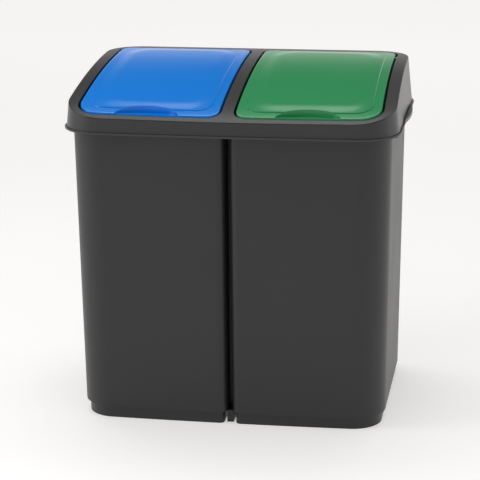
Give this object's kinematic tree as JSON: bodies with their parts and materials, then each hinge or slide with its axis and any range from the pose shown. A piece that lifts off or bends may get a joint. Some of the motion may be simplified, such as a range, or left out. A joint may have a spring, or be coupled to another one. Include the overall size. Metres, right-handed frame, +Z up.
{
  "type": "double recycling bin",
  "caption": "Freestanding recycling bin with side-by-side cells: tapered housing, arched lift-off lid frame, rear-hinged coloured flaps, inner buckets with wire bails.",
  "frame": {"origin": "centre of the bounding box's bottom face, where the bin stands on the floor", "axes": "+Z up, +X to the viewer's right across both cells, the front with the finger scoops faces -Y"},
  "size_m": [0.4722, 0.3362, 0.484],
  "materials": {
    "housing_plastic": "satin moulded",
    "frame_plastic": "satin moulded",
    "blue_plastic": "semi-gloss",
    "green_plastic": "semi-gloss",
    "pin_steel": "drawn",
    "bucket_plastic": "satin moulded",
    "bail_wire": "zinc plated",
    "grip_plastic": "satin moulded"
  },
  "bodies": {
    "housing": {"housing": "housing_plastic"},
    "lid_frame": {"lid_frame": "frame_plastic", "hinge_pin_inner_left": "pin_steel", "hinge_pin_inner_right": "pin_steel", "hinge_pin_outer_left": "pin_steel", "hinge_pin_outer_right": "pin_steel"},
    "flap_left": {"flap_left": "blue_plastic"},
    "flap_right": {"flap_right": "green_plastic"},
    "bucket_left": {"bucket_left": "bucket_plastic"},
    "bucket_right": {"bucket_right": "bucket_plastic"},
    "bail_left": {"bail_left": "bail_wire", "bail_grip_left": "grip_plastic"},
    "bail_right": {"bail_right": "bail_wire", "bail_grip_right": "grip_plastic"}
  },
  "joints": [
    {"name": "frame_lift", "type": "slide", "parent": "housing", "child": "lid_frame", "axis": [0, 0, 1], "range_m": [0, 0.9]},
    {"name": "flap_left_hinge", "type": "hinge", "parent": "lid_frame", "child": "flap_left", "pos_m": [-0.1093, 0.12667, 0.47399], "axis": [-1, 0, 0], "range_deg": [0, 98]},
    {"name": "flap_right_hinge", "type": "hinge", "parent": "lid_frame", "child": "flap_right", "pos_m": [0.1093, 0.12667, 0.47399], "axis": [-1, 0, 0], "range_deg": [0, 98]},
    {"name": "bucket_left_lift", "type": "slide", "parent": "housing", "child": "bucket_left", "axis": [0, 0, 1], "range_m": [0, 0.45]},
    {"name": "bucket_right_lift", "type": "slide", "parent": "housing", "child": "bucket_right", "axis": [0, 0, 1], "range_m": [0, 0.45]},
    {"name": "bail_left_swing", "type": "hinge", "parent": "bucket_left", "child": "bail_left", "pos_m": [-0.1115, 0, 0.4063], "axis": [-1, 0, 0], "range_deg": [0, 180]},
    {"name": "bail_right_swing", "type": "hinge", "parent": "bucket_right", "child": "bail_right", "pos_m": [0.1115, 0, 0.4063], "axis": [-1, 0, 0], "range_deg": [0, 180]}
  ],
  "couplings": [
    {"joint": "bucket_left_lift", "follows": "frame_lift", "ratio": 0.5},
    {"joint": "bucket_right_lift", "follows": "frame_lift", "ratio": 0.5},
    {"joint": "bail_left_swing", "follows": "frame_lift", "rad_per_m": 3.4906},
    {"joint": "bail_right_swing", "follows": "frame_lift", "rad_per_m": 3.4906}
  ]
}
